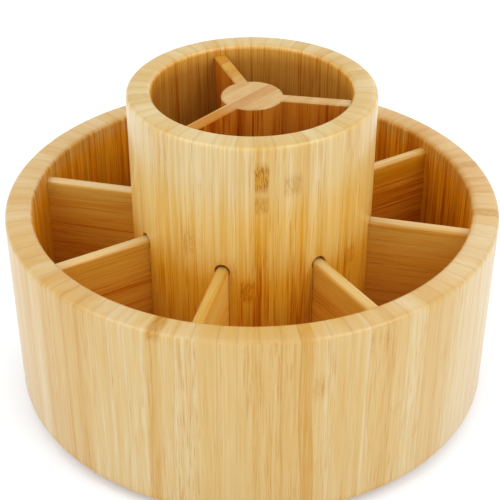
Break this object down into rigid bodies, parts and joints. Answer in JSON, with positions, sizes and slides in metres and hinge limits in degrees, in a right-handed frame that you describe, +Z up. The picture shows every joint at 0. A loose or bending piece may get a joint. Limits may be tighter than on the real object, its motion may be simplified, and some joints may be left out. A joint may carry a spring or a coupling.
{
  "type": "rotating storage box",
  "caption": "Round bamboo desk carousel: an outer tub with radial dividers round a taller cup, turning on a ball ring bearing over a recessed base.",
  "frame": {"origin": "centre of the feet's resting plane, on the turning axis", "axes": "+Z up along the turning axis, -Y towards the front of the picture"},
  "size_m": [0.2, 0.2, 0.134],
  "materials": {
    "bamboo": "laminated bamboo strips under satin lacquer",
    "aluminium": "turned and clear anodised",
    "steel": "polished bearing balls",
    "screw_steel": "zinc plated",
    "cage_plastic": "natural nylon",
    "foot_rubber": "matt, fine grained"
  },
  "bodies": {
    "base": {"base_disc": "bamboo", "inner_race": "aluminium", "base_screws": "screw_steel", "rubber_foot_1": "foot_rubber", "rubber_foot_2": "foot_rubber", "rubber_foot_3": "foot_rubber", "rubber_foot_4": "foot_rubber"},
    "box": {"tub_wall": "bamboo", "tub_floor": "bamboo", "inner_cup": "bamboo", "cup_insert": "bamboo", "cup_screws": "screw_steel", "hub_screw": "screw_steel", "outer_race": "aluminium", "outer_race_screws": "screw_steel", "divider_1": "bamboo", "divider_2": "bamboo", "divider_3": "bamboo", "divider_4": "bamboo", "divider_5": "bamboo", "divider_6": "bamboo", "divider_7": "bamboo", "divider_8": "bamboo"},
    "ball_set": {"ball_cage": "cage_plastic", "bearing_balls": "steel"}
  },
  "joints": [
    {"name": "box_turn", "type": "hinge", "parent": "base", "child": "box", "pos_m": [0, 0, 0.012], "axis": [0, 0, 1], "continuous": true},
    {"name": "ball_turn", "type": "hinge", "parent": "base", "child": "ball_set", "pos_m": [0, 0, 0.012], "axis": [0, 0, 1], "continuous": true}
  ],
  "couplings": [
    {"joint": "ball_turn", "follows": "box_turn", "ratio": 0.525}
  ]
}
